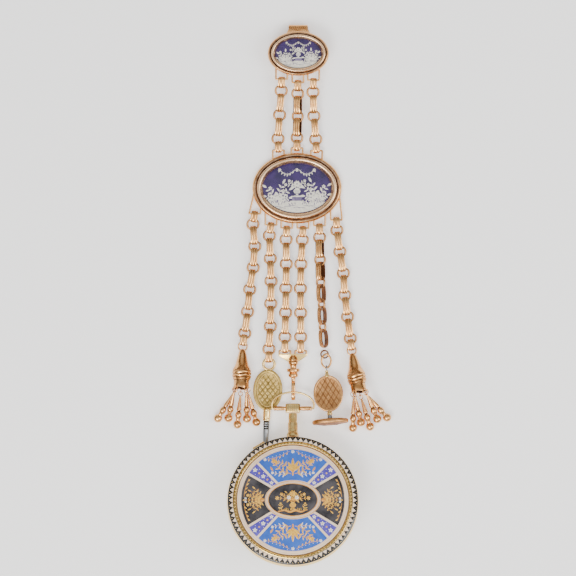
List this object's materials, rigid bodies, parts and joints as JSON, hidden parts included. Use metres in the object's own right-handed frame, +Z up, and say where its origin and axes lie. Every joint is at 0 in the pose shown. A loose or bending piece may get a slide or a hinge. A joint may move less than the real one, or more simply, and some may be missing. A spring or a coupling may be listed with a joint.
{
  "type": "chatelaine",
  "caption": "Chatelaine laid flat: two oval plaques, fancy link chains, tassels, watch key, fob seal and an enamelled watch on a swivel hook.",
  "frame": {"origin": "middle of the larger plaque's flat back, where it rests on the surface", "axes": "+Y along the chatelaine towards the belt hook, +Z up from the surface through the plaques' fronts, +X to the right as seen from the front"},
  "size_m": [0.0766, 0.2327, 0.0234],
  "materials": {
    "rose_gold": "polished rose gold",
    "yellow_gold": "polished yellow gold",
    "steel": "worn grey steel",
    "purple_enamel": "gloss purple",
    "black_enamel": "gloss black",
    "cream_enamel": "gloss cream",
    "watch_glass": "clear"
  },
  "bodies": {
    "chatelaine": {"main_plaque_frame": "rose_gold", "main_miniature": "purple_enamel", "top_plaque_frame": "rose_gold", "top_miniature": "purple_enamel", "belt_hook": "rose_gold", "upper_chain_left": "rose_gold", "upper_chain_middle": "rose_gold", "upper_chain_right": "rose_gold", "lower_chain_1": "rose_gold", "lower_chain_2": "rose_gold", "lower_chain_3": "rose_gold", "lower_chain_4": "rose_gold", "lower_chain_5": "rose_gold", "lower_chain_6": "rose_gold", "tassel_left_cap": "rose_gold", "tassel_left_drops": "rose_gold", "tassel_right_cap": "rose_gold", "tassel_right_drops": "rose_gold", "watch_key": "yellow_gold", "key_barrel": "steel", "seal_ring": "rose_gold", "seal": "rose_gold", "swivel_yoke": "rose_gold"},
    "hook": {"swivel_hook": "rose_gold", "watch_bow": "yellow_gold"},
    "watch": {"watch_pendant": "yellow_gold", "watch_case": "yellow_gold", "zigzag_ring": "black_enamel", "beaded_ring": "yellow_gold", "enamel_panel": "cream_enamel", "glass_bezel": "yellow_gold", "watch_glass": "watch_glass", "watch_dial": "cream_enamel"}
  },
  "joints": [
    {"name": "swivel_turn", "type": "hinge", "parent": "chatelaine", "child": "hook", "pos_m": [-0.0016, -0.0776, 0.0029], "axis": [0, 1, 0], "range_deg": [0, 90]},
    {"name": "bow_turn", "type": "hinge", "parent": "hook", "child": "watch", "pos_m": [-0.0018, -0.0949, 0.00345], "axis": [-1, 0, 0], "range_deg": [0, 20]}
  ]
}
